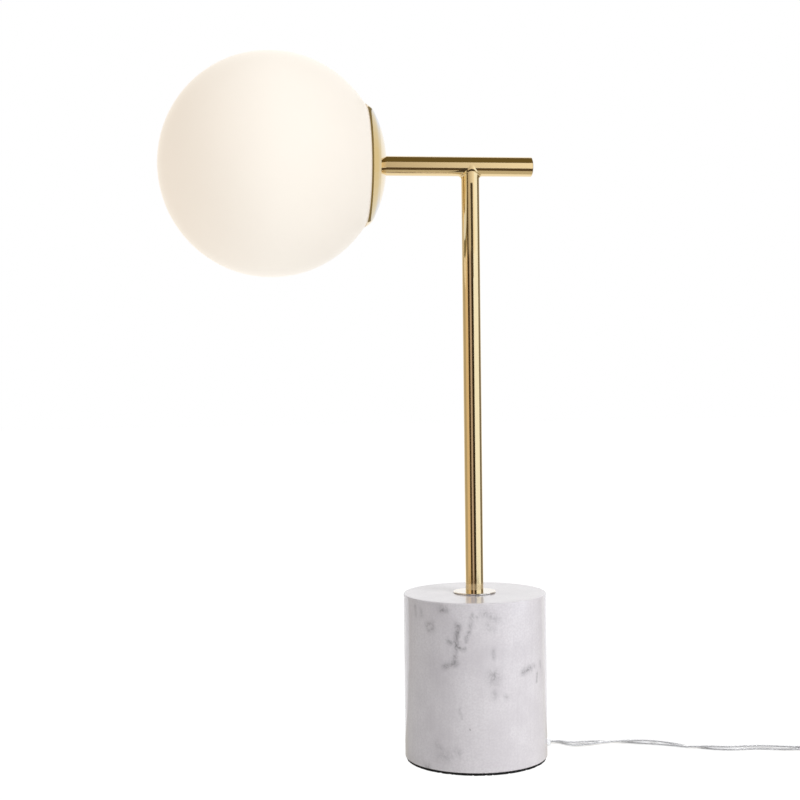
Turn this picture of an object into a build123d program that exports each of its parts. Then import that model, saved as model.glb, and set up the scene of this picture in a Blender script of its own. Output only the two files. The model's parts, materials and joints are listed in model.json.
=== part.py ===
# Glass globe table lamp: a marble drum base, a brass stem, a brass arm across its top and an opal
# glass ball held by a spun brass cap at the arm's end. Millimetres, +Z up. The origin is the centre of
# the base's underside on the table, and the arm lies along X with the ball on the -X side.
from build123d import *
import math
import os

past = 1.0                      # cutting solids run this far past the faces that they open

# ---- marble base ----
base_diameter = 130.0
marble_height = 149.0
marble_top_round = 1.0
marble_bottom_round = 0.6
pad_thickness = 2.5
pad_inset = 0.8                 # the pad's edge lies this far inside the marble's
pocket_diameter = 60.0          # hollow under the marble, for the nut and the lead
pocket_depth = 40.0
bore_clearance = 0.3            # radial, marble around the threaded pipe
cord_hole_height = 10.5         # table to the centre of the lead's side hole
cord_hole_diameter = 9.0
bushing_clearance = 0.1         # radial, bushing in the side hole
bushing_inside = 18.0
bushing_nose = 4.5              # how far the bushing stands out of the marble
bushing_nose_root = 7.8         # nose diameter at the marble
bushing_nose_tip = 7.0

# ---- threaded pipe and its nut ----
pipe_diameter = 10.0
pipe_bore = 7.6
thread_gap = 0.05               # radial, between the threads
pipe_below_nut = 3.0
pipe_in_stem = 18.0             # how far the pipe screws into the stem's foot
base_washer_diameter = 44.0
base_washer_thickness = 2.0
lock_washer_diameter = 18.0
lock_washer_thickness = 1.2
lock_washer_split = 1.2
base_nut_flats = 17.0
base_nut_height = 6.0
nut_chamfer = 0.6

# ---- foot plate and stem ----
gasket_thickness = 0.4
gasket_inset = 2.0
flange_diameter = 39.0
flange_thickness = 1.0
flange_round = 0.4
stem_diameter = 16.5
stem_wall = 1.2
insert_gap = 0.03               # radial, pressed bush in its tube
foot_insert_length = 20.0
head_insert_length = 18.0
head_insert_below_axis = 32.0   # arm axis down to the underside of the stem's upper bush
saddle_fillet = 3.0             # flare where the stem meets the arm
saddle_bead = 0.8               # height of the bead round the joint, on the arm's surface
saddle_bead_out = 0.9           # how far the bead stands out of the stem

# ---- arm ----
arm_height = 540.0              # table to the arm's axis
arm_diameter = 17.8
arm_wall = 1.2
arm_reach = 57.0                # stem axis to the arm's free end
end_plug_head = 1.5
end_plug_spigot = 8.0
end_plug_chamfer = 0.4
tee_block_length = 20.0
tee_thread_depth = 3.0          # how far the tee nipple stands inside the arm's bore
nipple_in_head = 14.0
cap_insert_length = 16.0
cap_insert_setback = 0.3

# ---- spun cap and globe holder ----
cap_lift = 3.5                  # glass to the cap's crown
cap_crown_extra = 5.0           # the crown's radius is this much more than the globe's
cap_rim_gap = 0.76              # glass to the outer edge of the cap's rim
cap_shoulder_start = 48.8       # distance from the axis where the crown turns into the shoulder
cap_rim_radius = 55.2
cap_wall = 1.0
cap_flat_margin = 0.5           # the flat for the arm is this much wider than the arm
seat_gap = 0.35                 # glass to cap
nipple_clearance = 0.15         # radial, sheet metal around a threaded pipe
thin_nut_flats = 14.0
thin_nut_height = 3.5
cap_washer_diameter = 16.0
cap_washer_thickness = 1.2
rim_gasket_thickness = 1.5
rim_gasket_margin = 0.5
gallery_overlap = 5.5           # how far the gallery reaches past the glass's opening
gallery_thickness = 1.2
clip_count = 3
clip_width = 8.0
clip_thickness = 0.5
clip_foot_start = 22.0          # distances from the axis
clip_foot_end = 31.0
clip_bulge = 34.9
clip_tip = 31.5
clip_bulge_depth = 9.0          # distances in front of the gallery
clip_tip_depth = 18.0
rivet_diameter = 3.0
rivet_head_diameter = 5.0
rivet_head_height = 0.8

# ---- lampholder and bulb ----
holder_diameter = 34.0
holder_wall = 2.0
holder_cap_length = 14.0
holder_cap_floor = 3.0
nipple_past_floor = 1.0
holder_skirt_length = 28.0
holder_spigot = 3.0             # how far the skirt's collar reaches into the cap
holder_spigot_wall = 1.0
core_thickness = 5.0
core_gap = 0.05                 # radial, core in the skirt's collar
shell_diameter = 27.8
shell_wall = 0.4
shell_length = 22.0
contact_thickness = 0.5
contact_rise = 1.7
contact_width = 5.0
shell_back_hole = 9.0           # radius of the hole in the screw shell's back
contact_foot = 8.0              # distances from the axis
contact_step = 4.0
terminal_offset = 9.0
terminal_screw_diameter = 3.0
terminal_head_diameter = 6.0
terminal_head_height = 2.4
terminal_slot_width = 0.8
terminal_slot_depth = 1.2
terminal_screw_bite = 4.0       # how far the screws reach into the core
bulb_rest_gap = 0.1             # bulb tip to the centre contact
bulb_tip_diameter = 8.0
bulb_tip_height = 1.2
bulb_tip_round = 0.6
bulb_insulator_height = 2.8
bulb_insulator_front = 9.6
bulb_base_diameter = 26.4
bulb_base_wall = 0.35
bulb_base_length = 18.0
bulb_neck_gap = 0.05            # radial, glass neck in the metal base
bulb_diameter = 45.0
bulb_length = 78.0              # tip to crown
bulb_wall = 0.8
bulb_cheek_angle = 52.0         # degrees off the axis where the ball turns into the neck
bulb_neck_in_base = 15.0        # how far the glass neck reaches into the metal base
led_board_thickness = 1.6
led_board_depth = 3.0           # behind the edge of the bulb's metal base

# ---- glass globe ----
globe_diameter = 200.0
globe_wall = 2.4
globe_offset = 181.0            # stem axis to the globe's centre
globe_opening = 36.0            # inner radius of the hole in the glass

# ---- lead ----
lead_diameter = 5.6             # twin lead, twisted: the round envelope of its two cores
lead_gap = 0.05                 # radial, lead in its bushing
base_bend = 15.0                # bend radius under the pipe
tee_bend = 7.5                  # bend radius inside the tee
tee_relief = 0.9                # radial room for the lead in the tee
lead_end_depth = 3.5            # past the floor of the lampholder's cap
core_wire_diameter = 1.6        # one of the two cores, bare of the lead's jacket
core_wire_offset = 1.4
core_wire_bend = 1.0
core_wire_run = 2.2             # straight out of the lead before it turns to its screw
core_wire_fall = 1.8            # last straight piece down on the screw

# ---- inline switch on the lead ----
switch_start = (316.0, -42.0)   # its end towards the lamp
switch_length = 52.0
switch_width = 20.0
switch_lower_height = 7.5
switch_upper_height = 7.5
switch_lead_height = 5.5
switch_entry = 4.0              # how far the lead reaches into it
switch_wall = 1.6
switch_end_wall = 4.0
switch_top_round = 2.0
switch_bottom_round = 1.0
switch_corner = 4.0
rocker_length = 17.0
rocker_width = 8.0
rocker_gap = 0.4
rocker_hub = 4.0                # radius about the pin
rocker_skirt = 2.4              # height of its two ends
rocker_pin_height = 9.8         # table to the pin
rocker_pin_diameter = 1.6
rocker_pin_fit = 0.05           # radial
rocker_pin_bite = 2.0           # how far the pin sits in each side
rocker_post_width = 6.4
rocker_tilt = 8.0               # degrees each way from level
rocker_top = 6.4                # pin to the ridge between its two faces
switch_contact_length = 12.0
switch_contact_width = 4.0
switch_contact_thickness = 0.8
switch_contact_spread = 5.0     # pin to the near end of each contact
switch_screw_diameter = 2.5
switch_screw_head = 4.5
switch_screw_head_height = 1.5
switch_screw_recess = 0.3
switch_screw_room = 0.1         # radial, head in its recess
switch_screw_bite = 4.0         # into the upper shell
switch_boss_wall = 1.6
switch_screw_inset_x = 9.0
switch_screw_inset_y = 5.0

# ---- put-away coil of the lead ----
coil_centre = (370.0, -100.0)
coil_outer_radius = 42.0
coil_pitch = 6.1                # turn to turn, and layer to layer
coil_turns = 3
coil_straight = 6.0             # straight piece at each end

# ---- plug ----
plug_entry = (328.0, -145.0)
plug_neck_length = 10.0
plug_neck_width = 9.0
plug_neck_height = 8.0
plug_length = 28.0
plug_width = 25.0
plug_height = 13.0
plug_edge = 3.0
blade_length = 17.0
blade_height = 6.3
blade_thickness = 1.5
blade_spacing = 12.7
blade_inside = 6.0
blade_hole_diameter = 3.0
blade_hole_from_tip = 4.3

lead_radius = lead_diameter / 2

# Free stretches of the lead, point by point from the bushing to the plug.
lead_points = [
    (77.0, 0.0, cord_hole_height),
    (88.0, -1.5, 8.0),
    (102.0, 4.0, 6.3),
    (121.0, 13.5, 4.5),
    (145.0, 16.5, 3.1),
    (170.0, 9.0, lead_radius),
    (192.0, -2.0, lead_radius),
    (211.0, -17.5, lead_radius),
    (232.0, -26.5, lead_radius),
    (256.0, -26.0, lead_radius),
    (277.0, -31.8, lead_radius),
    (297.0, -40.5, 3.3),
    (309.0, -42.0, switch_lead_height),
]
link_points = [
    (377.0, -42.0, switch_lead_height),
    (393.0, -48.5, 4.3),
    (405.5, -61.0, 3.1),
    (412.0, -77.0, lead_radius),
]
tail_points = [
    (351.0, -142.0, 8.9),
    (338.0, -145.0, 6.5),
]

# ---- places that follow from the sizes ----
base_radius = base_diameter / 2
base_top = pad_thickness + marble_height
pocket_roof = pad_thickness + pocket_depth
stem_foot = base_top + gasket_thickness + flange_thickness
pipe_radius = pipe_diameter / 2
thread_hole = pipe_radius + thread_gap
stem_radius = stem_diameter / 2
stem_bore = stem_radius - stem_wall
arm_radius = arm_diameter / 2
arm_bore = arm_radius - arm_wall
arm_underside = arm_height - arm_radius
globe_radius = globe_diameter / 2
globe_inner = globe_radius - globe_wall
globe_centre = -globe_offset
glass_edge = globe_centre + math.sqrt(globe_inner**2 - globe_opening**2)
cap_crown_radius = globe_radius + cap_crown_extra
cap_pole = globe_centre + globe_radius + cap_lift
cap_rim = globe_centre + math.sqrt((globe_radius + cap_rim_gap) ** 2 - cap_rim_radius**2)
cap_flat = arm_radius + cap_flat_margin
cap_face = cap_pole - cap_crown_radius + math.sqrt(cap_crown_radius**2 - cap_flat**2)
cap_inside = cap_face - cap_wall
gallery_radius = globe_opening + gallery_overlap
gallery_front = glass_edge + rim_gasket_thickness
gallery_back = gallery_front + gallery_thickness
clip_front = gallery_front - clip_thickness
rivet_place = arm_height + (clip_foot_start + clip_foot_end) / 2
holder_back = gallery_front
holder_floor = holder_back - holder_cap_floor
holder_mouth = holder_back - holder_cap_length
core_front = holder_mouth - core_thickness
nipple_end = holder_floor - nipple_past_floor
contact_front = core_front - contact_thickness - contact_rise
bulb_tip = contact_front - bulb_rest_gap
bulb_insulator = bulb_tip - bulb_tip_height
bulb_base_back = bulb_insulator - bulb_insulator_height
bulb_base_edge = bulb_base_back - bulb_base_length
bulb_neck = bulb_base_diameter / 2 - bulb_base_wall - bulb_neck_gap
bulb_mouth = bulb_base_edge + bulb_neck_in_base
lead_end = holder_floor - lead_end_depth
terminal_top = holder_mouth + terminal_head_height
switch_left, switch_line = switch_start
switch_right = switch_left + switch_length
pin_place = (switch_left + switch_right) / 2
switch_top = switch_lower_height + switch_upper_height


# ---- helpers ----
def rod_z(low, high, radius, x=0.0, y=0.0):
    return Pos(x, y, (low + high) / 2) * Cylinder(radius, high - low)


def tube_z(low, high, outer, inner, x=0.0, y=0.0):
    return rod_z(low, high, outer, x, y) - rod_z(low - past, high + past, inner, x, y)


def rod_x(left, right, radius, y=0.0, z=arm_height):
    return Pos((left + right) / 2, y, z) * Rot(0, 90, 0) * Cylinder(radius, right - left)


def tube_x(left, right, outer, inner, y=0.0, z=arm_height):
    return rod_x(left, right, outer, y, z) - rod_x(left - past, right + past, inner, y, z)


def block(x_ends, y_ends, z_ends):
    # Box between two ends along each axis, in either order.
    ends = (x_ends, y_ends, z_ends)
    middle = [(one + two) / 2 for one, two in ends]
    return Pos(*middle) * Box(*(abs(two - one) for one, two in ends))


def about(middle, width):
    return (middle - width / 2, middle + width / 2)


def turned(outline):
    # Closed outline of (x, distance from the arm's axis), turned about that axis.
    face = make_face(outline)
    return revolve(face, Axis((0, 0, arm_height), (1, 0, 0)), 360)


def off_axis(x, distance):
    return (x, 0, arm_height + distance)


def arc_about(centre, start, end):
    # Arc between two points that lie equally far from its centre, the short way round.
    half_way = ((start - centre) + (end - centre)).normalized() * (start - centre).length + centre
    return ThreePointArc(*(off_axis(point.X, point.Y) for point in (start, half_way, end)))


def hex_nut(flats, height, hole):
    corner = flats / math.sqrt(3)
    prism = extrude(RegularPolygon(corner, 6), height)
    drum = Cylinder(corner, height)
    drum = Pos(0, 0, height / 2) * chamfer(drum.edges().filter_by(GeomType.CIRCLE), nut_chamfer)
    return (prism & drum) - rod_z(-past, height + past, hole)


def corner_radii(points):
    radii = []
    for before, corner, after in zip(points, points[1:], points[2:]):
        leg_in, leg_out = corner - before, after - corner
        half_turn = math.radians(leg_in.get_angle(leg_out)) / 2
        radii.append(0.45 * min(leg_in.length, leg_out.length) / math.tan(half_turn))
    return radii


def lead_along(name, path):
    start = Plane(origin=path @ 0, z_dir=path % 0)
    solid = sweep(start * Circle(lead_radius), path=path)
    expected = math.pi * lead_radius**2 * path.length
    print(name, "length", round(path.length, 1), "volume share", round(solid.volume / expected, 4))
    return solid


def lead_through(name, points, radii=None):
    points = [Vector(*point) for point in points]
    radii = radii or corner_radii(points)
    print(name, "radii", [round(radius, 1) for radius in radii])
    return lead_along(name, FilletPolyline(*points, radius=radii))


pieces = {}


# ---- marble base ----
def make_base():
    marble = rod_z(pad_thickness, base_top, base_radius)
    marble = fillet(marble.edges().sort_by(Axis.Z)[-1], marble_top_round)
    marble = fillet(marble.edges().sort_by(Axis.Z)[0], marble_bottom_round)
    marble -= rod_z(pad_thickness - past, pocket_roof, pocket_diameter / 2)
    marble -= rod_z(pocket_roof - past, base_top + past, pipe_radius + bore_clearance)
    marble -= rod_x(0, base_radius + past, cord_hole_diameter / 2, z=cord_hole_height)
    pieces["marble_base"] = marble
    pieces["base_pad"] = rod_z(0, pad_thickness, base_radius - pad_inset)

    body_radius = cord_hole_diameter / 2 - bushing_clearance
    body = rod_x(base_radius - bushing_inside, base_radius, body_radius, z=cord_hole_height)
    nose = Cone(bushing_nose_root / 2, bushing_nose_tip / 2, bushing_nose)
    nose = Pos(base_radius + bushing_nose / 2, 0, cord_hole_height) * Rot(0, 90, 0) * nose
    bore = rod_x(0, base_radius + bushing_nose + past, lead_radius + lead_gap, z=cord_hole_height)
    pieces["cord_bushing"] = body + nose - bore


def make_pipe_stack():
    hole = pipe_radius + nipple_clearance
    washer_low = pocket_roof - base_washer_thickness
    pieces["base_washer"] = tube_z(washer_low, pocket_roof, base_washer_diameter / 2, hole)
    lock_low = washer_low - lock_washer_thickness
    lock = tube_z(lock_low, washer_low, lock_washer_diameter / 2, hole)
    cut = (lock_low - past, washer_low + past)
    split = block((0, lock_washer_diameter), about(0, lock_washer_split), cut)
    pieces["base_lock_washer"] = lock - split
    nut_low = lock_low - base_nut_height
    pieces["base_nut"] = Pos(0, 0, nut_low) * hex_nut(base_nut_flats, base_nut_height, thread_hole)
    pipe_low = nut_low - pipe_below_nut
    pieces["base_pipe"] = tube_z(pipe_low, stem_foot + pipe_in_stem, pipe_radius, pipe_bore / 2)


# ---- foot plate and stem ----
def make_stem():
    gasket_radius = flange_diameter / 2 - gasket_inset
    plate_hole = pipe_radius + nipple_clearance
    pieces["flange_gasket"] = tube_z(base_top, base_top + gasket_thickness, gasket_radius, plate_hole)
    flange = tube_z(base_top + gasket_thickness, stem_foot, flange_diameter / 2, plate_hole)
    top_edge = flange.edges().filter_by(GeomType.CIRCLE).group_by(Axis.Z)[-1].sort_by(SortBy.RADIUS)[-1]
    pieces["base_flange"] = fillet(top_edge, flange_round)

    arm_stretch = rod_x(-arm_diameter, arm_diameter, arm_radius)
    post = rod_z(stem_foot, arm_height, stem_radius)
    joined = post + arm_stretch
    joined = fillet(new_edges(post, arm_stretch, combined=joined), saddle_fillet)
    bead = rod_x(-arm_diameter, arm_diameter, arm_radius + saddle_bead)
    bead &= rod_z(arm_height - arm_diameter, arm_height, stem_radius + saddle_bead_out)
    stem = joined + bead - arm_stretch - rod_z(stem_foot - past, arm_height, stem_bore)
    pieces["stem_tube"] = stem.solids().sort_by(SortBy.VOLUME)[-1]

    bush_radius = stem_bore - insert_gap
    pieces["stem_foot_bush"] = tube_z(stem_foot, stem_foot + foot_insert_length, bush_radius, thread_hole)
    head_low = arm_height - head_insert_below_axis
    pieces["stem_head_bush"] = tube_z(head_low, head_low + head_insert_length, bush_radius, thread_hole)


# ---- arm ----
def make_arm():
    tube = tube_x(cap_face, arm_reach - end_plug_head, arm_radius, arm_bore)
    tube -= rod_z(arm_underside - past, arm_height, pipe_radius + nipple_clearance)
    pieces["arm_tube"] = tube

    head = rod_x(arm_reach - end_plug_head, arm_reach, arm_radius)
    head = chamfer(head.edges().sort_by(Axis.X)[-1], end_plug_chamfer)
    spigot_start = arm_reach - end_plug_head - end_plug_spigot
    pieces["arm_end_plug"] = head + rod_x(spigot_start, arm_reach - end_plug_head, arm_bore - insert_gap)

    nipple_low = arm_height - head_insert_below_axis + head_insert_length - nipple_in_head
    nipple_high = arm_height - arm_bore + tee_thread_depth
    pieces["tee_nipple"] = tube_z(nipple_low, nipple_high, pipe_radius, pipe_bore / 2)
    tee = rod_x(-tee_block_length / 2, tee_block_length / 2, arm_bore - insert_gap)
    tee -= rod_z(arm_underside, nipple_high, thread_hole)
    relief_radius = lead_radius + tee_relief
    relief_path = FilletPolyline(
        (0, 0, arm_underside), (0, 0, arm_height), (-tee_block_length, 0, arm_height), radius=tee_bend
    )
    relief = sweep(Plane.XY.offset(arm_underside) * Circle(relief_radius), path=relief_path)
    pieces["arm_tee_block"] = tee - relief

    bush_left = cap_face + cap_insert_setback
    bush_right = bush_left + cap_insert_length
    pieces["arm_cap_bush"] = tube_x(bush_left, bush_right, arm_bore - insert_gap, thread_hole)
    pieces["cap_nipple"] = tube_x(nipple_end, bush_right, pipe_radius, pipe_bore / 2)


# ---- spun cap, globe holder ----
def circles_meet(centre, radius, other, other_radius):
    # The crossing of two circles that lies further from the axis.
    between = other - centre
    along = (radius**2 - other_radius**2 + between.length**2) / (2 * between.length)
    aside = math.sqrt(radius**2 - along**2)
    step = between.normalized()
    one = centre + step * along + Vector(-step.Y, step.X) * aside
    two = centre + step * along - Vector(-step.Y, step.X) * aside
    return max(one, two, key=lambda point: point.Y)


def make_cap():
    # Crown about one centre, then a tangent shoulder about another; the inside is a wall's width in.
    crown_centre = Vector(cap_pole - cap_crown_radius, 0)
    turn_x = crown_centre.X + math.sqrt(cap_crown_radius**2 - cap_shoulder_start**2)
    shoulder_start = Vector(turn_x, cap_shoulder_start)
    normal = (shoulder_start - crown_centre).normalized()
    rim = Vector(cap_rim, cap_rim_radius)
    chord = rim - shoulder_start
    shoulder_radius = -chord.length**2 / (2 * chord.dot(normal))
    shoulder_centre = shoulder_start - normal * shoulder_radius
    inner_turn = shoulder_start - normal * cap_wall
    inner_rim = circles_meet(
        shoulder_centre, shoulder_radius - cap_wall, Vector(globe_centre, 0), globe_radius + seat_gap
    )
    outer_flat = Vector(cap_face, cap_flat)
    inner_crown = cap_crown_radius - cap_wall
    inner_flat = Vector(cap_inside, math.sqrt(inner_crown**2 - (cap_inside - crown_centre.X) ** 2))
    hole = pipe_radius + nipple_clearance
    outline = [
        Line(off_axis(cap_inside, hole), off_axis(cap_face, hole)),
        Line(off_axis(cap_face, hole), off_axis(cap_face, cap_flat)),
        arc_about(crown_centre, outer_flat, shoulder_start),
        arc_about(shoulder_centre, shoulder_start, rim),
        Line(off_axis(rim.X, rim.Y), off_axis(inner_rim.X, inner_rim.Y)),
        arc_about(shoulder_centre, inner_rim, inner_turn),
        arc_about(crown_centre, inner_turn, inner_flat),
        Line(off_axis(inner_flat.X, inner_flat.Y), off_axis(cap_inside, hole)),
    ]
    pieces["dome_cap"] = turned(outline)

    washer_left = cap_inside - cap_washer_thickness
    pieces["cap_washer"] = tube_x(
        washer_left, cap_inside, cap_washer_diameter / 2, pipe_radius + nipple_clearance
    )
    nuts = []
    for right in (washer_left, gallery_back + thin_nut_height):
        nut = Pos(right - thin_nut_height, 0, arm_height) * Rot(0, 90, 0)
        nuts.append(nut * hex_nut(thin_nut_flats, thin_nut_height, thread_hole))
    pieces["cap_nuts"] = nuts


def make_gallery():
    plate = tube_x(gallery_front, gallery_back, gallery_radius, pipe_radius + nipple_clearance)
    bend_line = Polyline(
        off_axis(gallery_front - clip_thickness / 2, clip_foot_start),
        off_axis(gallery_front - clip_thickness / 2, clip_foot_end),
        off_axis(gallery_front - clip_bulge_depth, clip_bulge),
        off_axis(gallery_front - clip_tip_depth, clip_tip),
    )
    strip = make_face(offset(bend_line, clip_thickness / 2, side=Side.BOTH).edges())
    clip = extrude(strip, clip_width / 2, dir=(0, 1, 0), both=True)
    shank = rod_x(clip_front, gallery_back, rivet_diameter / 2, z=rivet_place)
    head_radius = rivet_head_diameter / 2
    rivet = shank + rod_x(clip_front - rivet_head_height, clip_front, head_radius, z=rivet_place)
    rivet += rod_x(gallery_back, gallery_back + rivet_head_height, head_radius, z=rivet_place)
    clips, rivets = [], []
    for index in range(clip_count):
        turn = Pos(0, 0, arm_height) * Rot(90 + 360 / clip_count * index, 0, 0) * Pos(0, 0, -arm_height)
        clips.append(turn * (clip - shank))
        rivets.append(turn * rivet)
        plate -= turn * shank
    pieces["globe_gallery"] = plate
    pieces["globe_clips"] = clips
    pieces["clip_rivets"] = rivets
    gasket_hole = globe_opening + rim_gasket_margin
    pieces["rim_gasket"] = tube_x(glass_edge, gallery_front, gallery_radius, gasket_hole)


# ---- lampholder ----
def make_holder():
    outer = holder_diameter / 2
    inner = outer - holder_wall
    cover = rod_x(holder_mouth, holder_back, outer)
    cover = fillet(cover.edges().sort_by(Axis.X)[-1], holder_wall)
    cover -= rod_x(holder_mouth - past, holder_floor, inner)
    pieces["holder_cap"] = cover - rod_x(holder_floor - past, holder_back + past, thread_hole)

    spigot_outer = inner - insert_gap
    spigot_inner = spigot_outer - holder_spigot_wall
    skirt = tube_x(holder_mouth - holder_skirt_length, holder_mouth, outer, inner)
    skirt += tube_x(holder_mouth - holder_spigot, holder_mouth, inner, spigot_inner)
    skirt += tube_x(holder_mouth, holder_mouth + holder_spigot, spigot_outer, spigot_inner)
    pieces["holder_skirt"] = skirt

    core = rod_x(core_front, holder_mouth, spigot_inner - core_gap)
    screws = []
    for side in (-1, 1):
        y = side * terminal_offset
        shank = rod_x(holder_mouth - terminal_screw_bite, holder_mouth, terminal_screw_diameter / 2, y=y)
        head = rod_x(holder_mouth, terminal_top, terminal_head_diameter / 2, y=y)
        slot = block(
            (terminal_top - terminal_slot_depth, terminal_top + past),
            about(y, terminal_slot_width),
            about(arm_height, 2 * terminal_head_diameter),
        )
        core -= shank
        screws.append(shank + head - slot)
    pieces["holder_core"] = core
    pieces["terminal_screws"] = screws

    shell_outer = shell_diameter / 2
    shell = tube_x(core_front - shell_length, core_front, shell_outer, shell_outer - shell_wall)
    shell += tube_x(core_front - shell_wall, core_front, shell_outer, shell_back_hole)
    pieces["screw_shell"] = shell

    # The contact is a bent strip: a foot on the core, a step, and a tongue under the bulb's tip.
    width = about(0, contact_width)
    step = arm_height - contact_step
    foot = block((core_front - contact_thickness, core_front), width, (arm_height - contact_foot, step))
    riser = block((contact_front, core_front), width, (step, step + contact_thickness))
    under_tip = (contact_front, contact_front + contact_thickness)
    tongue = block(under_tip, width, (step, arm_height + contact_step))
    pieces["centre_contact"] = foot + riser + tongue


# ---- bulb ----
def bulb_form(shrink):
    # Ball, cheek and neck of the bulb, drawn in by shrink and running on through the neck's mouth.
    radius = bulb_diameter / 2 - shrink
    neck = bulb_neck - shrink
    centre = Vector(bulb_tip - bulb_length + bulb_diameter / 2, 0)
    cheek = math.radians(bulb_cheek_angle)
    leave = centre + Vector(math.cos(cheek), math.sin(cheek)) * radius
    mouth = bulb_mouth + (past if shrink else 0)
    crown = centre - Vector(radius, 0)
    return turned([
        Line(off_axis(crown.X, 0), off_axis(mouth, 0)),
        Line(off_axis(mouth, 0), off_axis(mouth, neck)),
        Line(off_axis(mouth, neck), off_axis(bulb_base_edge, neck)),
        Spline(
            [off_axis(bulb_base_edge, neck), off_axis(leave.X, leave.Y)],
            tangents=[(-1, 0, 0), (-math.sin(cheek), 0, math.cos(cheek))],
        ),
        arc_about(centre, leave, crown),
    ])


def make_bulb():
    pieces["bulb_glass"] = bulb_form(0) - bulb_form(bulb_wall)

    outer = bulb_base_diameter / 2
    back_wall = bulb_base_back - bulb_base_wall
    base = tube_x(bulb_base_edge, bulb_base_back, outer, outer - bulb_base_wall)
    pieces["bulb_screw_base"] = base + tube_x(back_wall, bulb_base_back, outer, bulb_insulator_front)
    cone = Cone(bulb_insulator_front, bulb_tip_diameter / 2, bulb_insulator_height)
    cone = Pos((bulb_base_back + bulb_insulator) / 2, 0, arm_height) * Rot(0, 90, 0) * cone
    pieces["bulb_insulator"] = cone + rod_x(back_wall, bulb_base_back, bulb_insulator_front)
    tip = rod_x(bulb_insulator, bulb_tip, bulb_tip_diameter / 2)
    pieces["bulb_tip_contact"] = fillet(tip.edges().sort_by(Axis.X)[-1], bulb_tip_round)
    board_right = bulb_base_edge + led_board_depth
    board_radius = bulb_neck - bulb_wall - bulb_neck_gap
    pieces["bulb_led_board"] = rod_x(board_right - led_board_thickness, board_right, board_radius)


# ---- glass globe ----
def make_globe():
    centre = Vector(globe_centre, 0)
    outer_edge = Vector(glass_edge, math.sqrt(globe_radius**2 - (glass_edge - globe_centre) ** 2))
    inner_edge = Vector(glass_edge, globe_opening)
    outer_pole = centre - Vector(globe_radius, 0)
    inner_pole = centre - Vector(globe_inner, 0)
    pieces["globe_glass"] = turned([
        arc_about(centre, inner_edge, inner_pole),
        Line(off_axis(inner_pole.X, 0), off_axis(outer_pole.X, 0)),
        arc_about(centre, outer_pole, outer_edge),
        Line(off_axis(glass_edge, outer_edge.Y), off_axis(glass_edge, globe_opening)),
    ])


# ---- lead inside the lamp ----
def make_inner_lead():
    corners = [
        (base_radius + bushing_nose, 0, cord_hole_height),
        (0, 0, cord_hole_height),
        (0, 0, arm_height),
        (lead_end, 0, arm_height),
    ]
    pieces["inner_lead"] = lead_through("inner_lead", corners, [base_bend, tee_bend])

    wires = []
    for side in (-1, 1):
        near, far = side * core_wire_offset, side * terminal_offset
        path = FilletPolyline(
            (lead_end, near, arm_height),
            (lead_end - core_wire_run, near, arm_height),
            (terminal_top + core_wire_fall, far, arm_height),
            (terminal_top, far, arm_height),
            radius=core_wire_bend,
        )
        start = Plane(origin=path @ 0, z_dir=path % 0)
        wires.append(sweep(start * Circle(core_wire_diameter / 2), path=path))
    pieces["lead_cores"] = wires


# ---- inline switch ----
def switch_room(low, high):
    # Hollow inside the shells, between two heights.
    return block(
        (switch_left + switch_end_wall, switch_right - switch_end_wall),
        about(switch_line, switch_width - 2 * switch_wall),
        (low, high),
    )


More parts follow.
